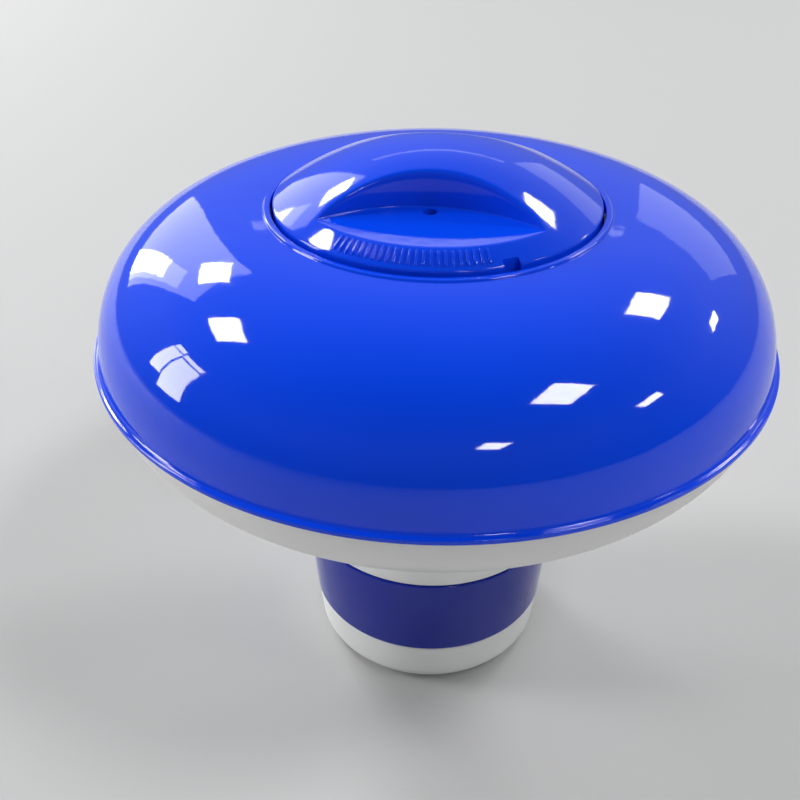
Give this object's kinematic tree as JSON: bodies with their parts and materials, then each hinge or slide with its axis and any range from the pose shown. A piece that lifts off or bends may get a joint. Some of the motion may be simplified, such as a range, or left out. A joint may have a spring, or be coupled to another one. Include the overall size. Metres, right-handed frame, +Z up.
{
  "type": "floating chlorine dispenser",
  "caption": "Round two-shell pool float with a domed twist-off cap, a slotted tablet basket below it and a turning flow ring around the basket.",
  "frame": {"origin": "centre of the base's underside, on the float's axis", "axes": "+Z up along the float's axis, out through the cap; the cap's grip bar lies near X; -Y is the side with the front scoop, the vent hole and no flow windows"},
  "size_m": [0.2032, 0.2032, 0.1748],
  "materials": {
    "blue_cap": "gloss",
    "blue_shell": "gloss",
    "white_shell": "satin",
    "white_basket": "satin",
    "blue_ring": "gloss",
    "seal_rubber": "matte"
  },
  "bodies": {
    "float": {"top_shell": "blue_shell", "bottom_shell": "white_shell", "well_seal": "seal_rubber", "basket": "white_basket", "base_cap": "white_basket"},
    "gasket": {"cap_gasket": "seal_rubber"},
    "cap": {"cap": "blue_cap"},
    "ring": {"control_ring": "blue_ring"}
  },
  "joints": [
    {"name": "cap_lift", "type": "slide", "parent": "float", "child": "gasket", "axis": [0, 0, 1], "range_m": [0, 0.06]},
    {"name": "cap_turn", "type": "hinge", "parent": "gasket", "child": "cap", "pos_m": [0, 0, 0.155], "axis": [0, 0, 1], "range_deg": [-45, 0]},
    {"name": "ring_turn", "type": "hinge", "parent": "float", "child": "ring", "pos_m": [0, 0, 0.032], "axis": [0, 0, 1], "range_deg": [-30, 0]}
  ]
}
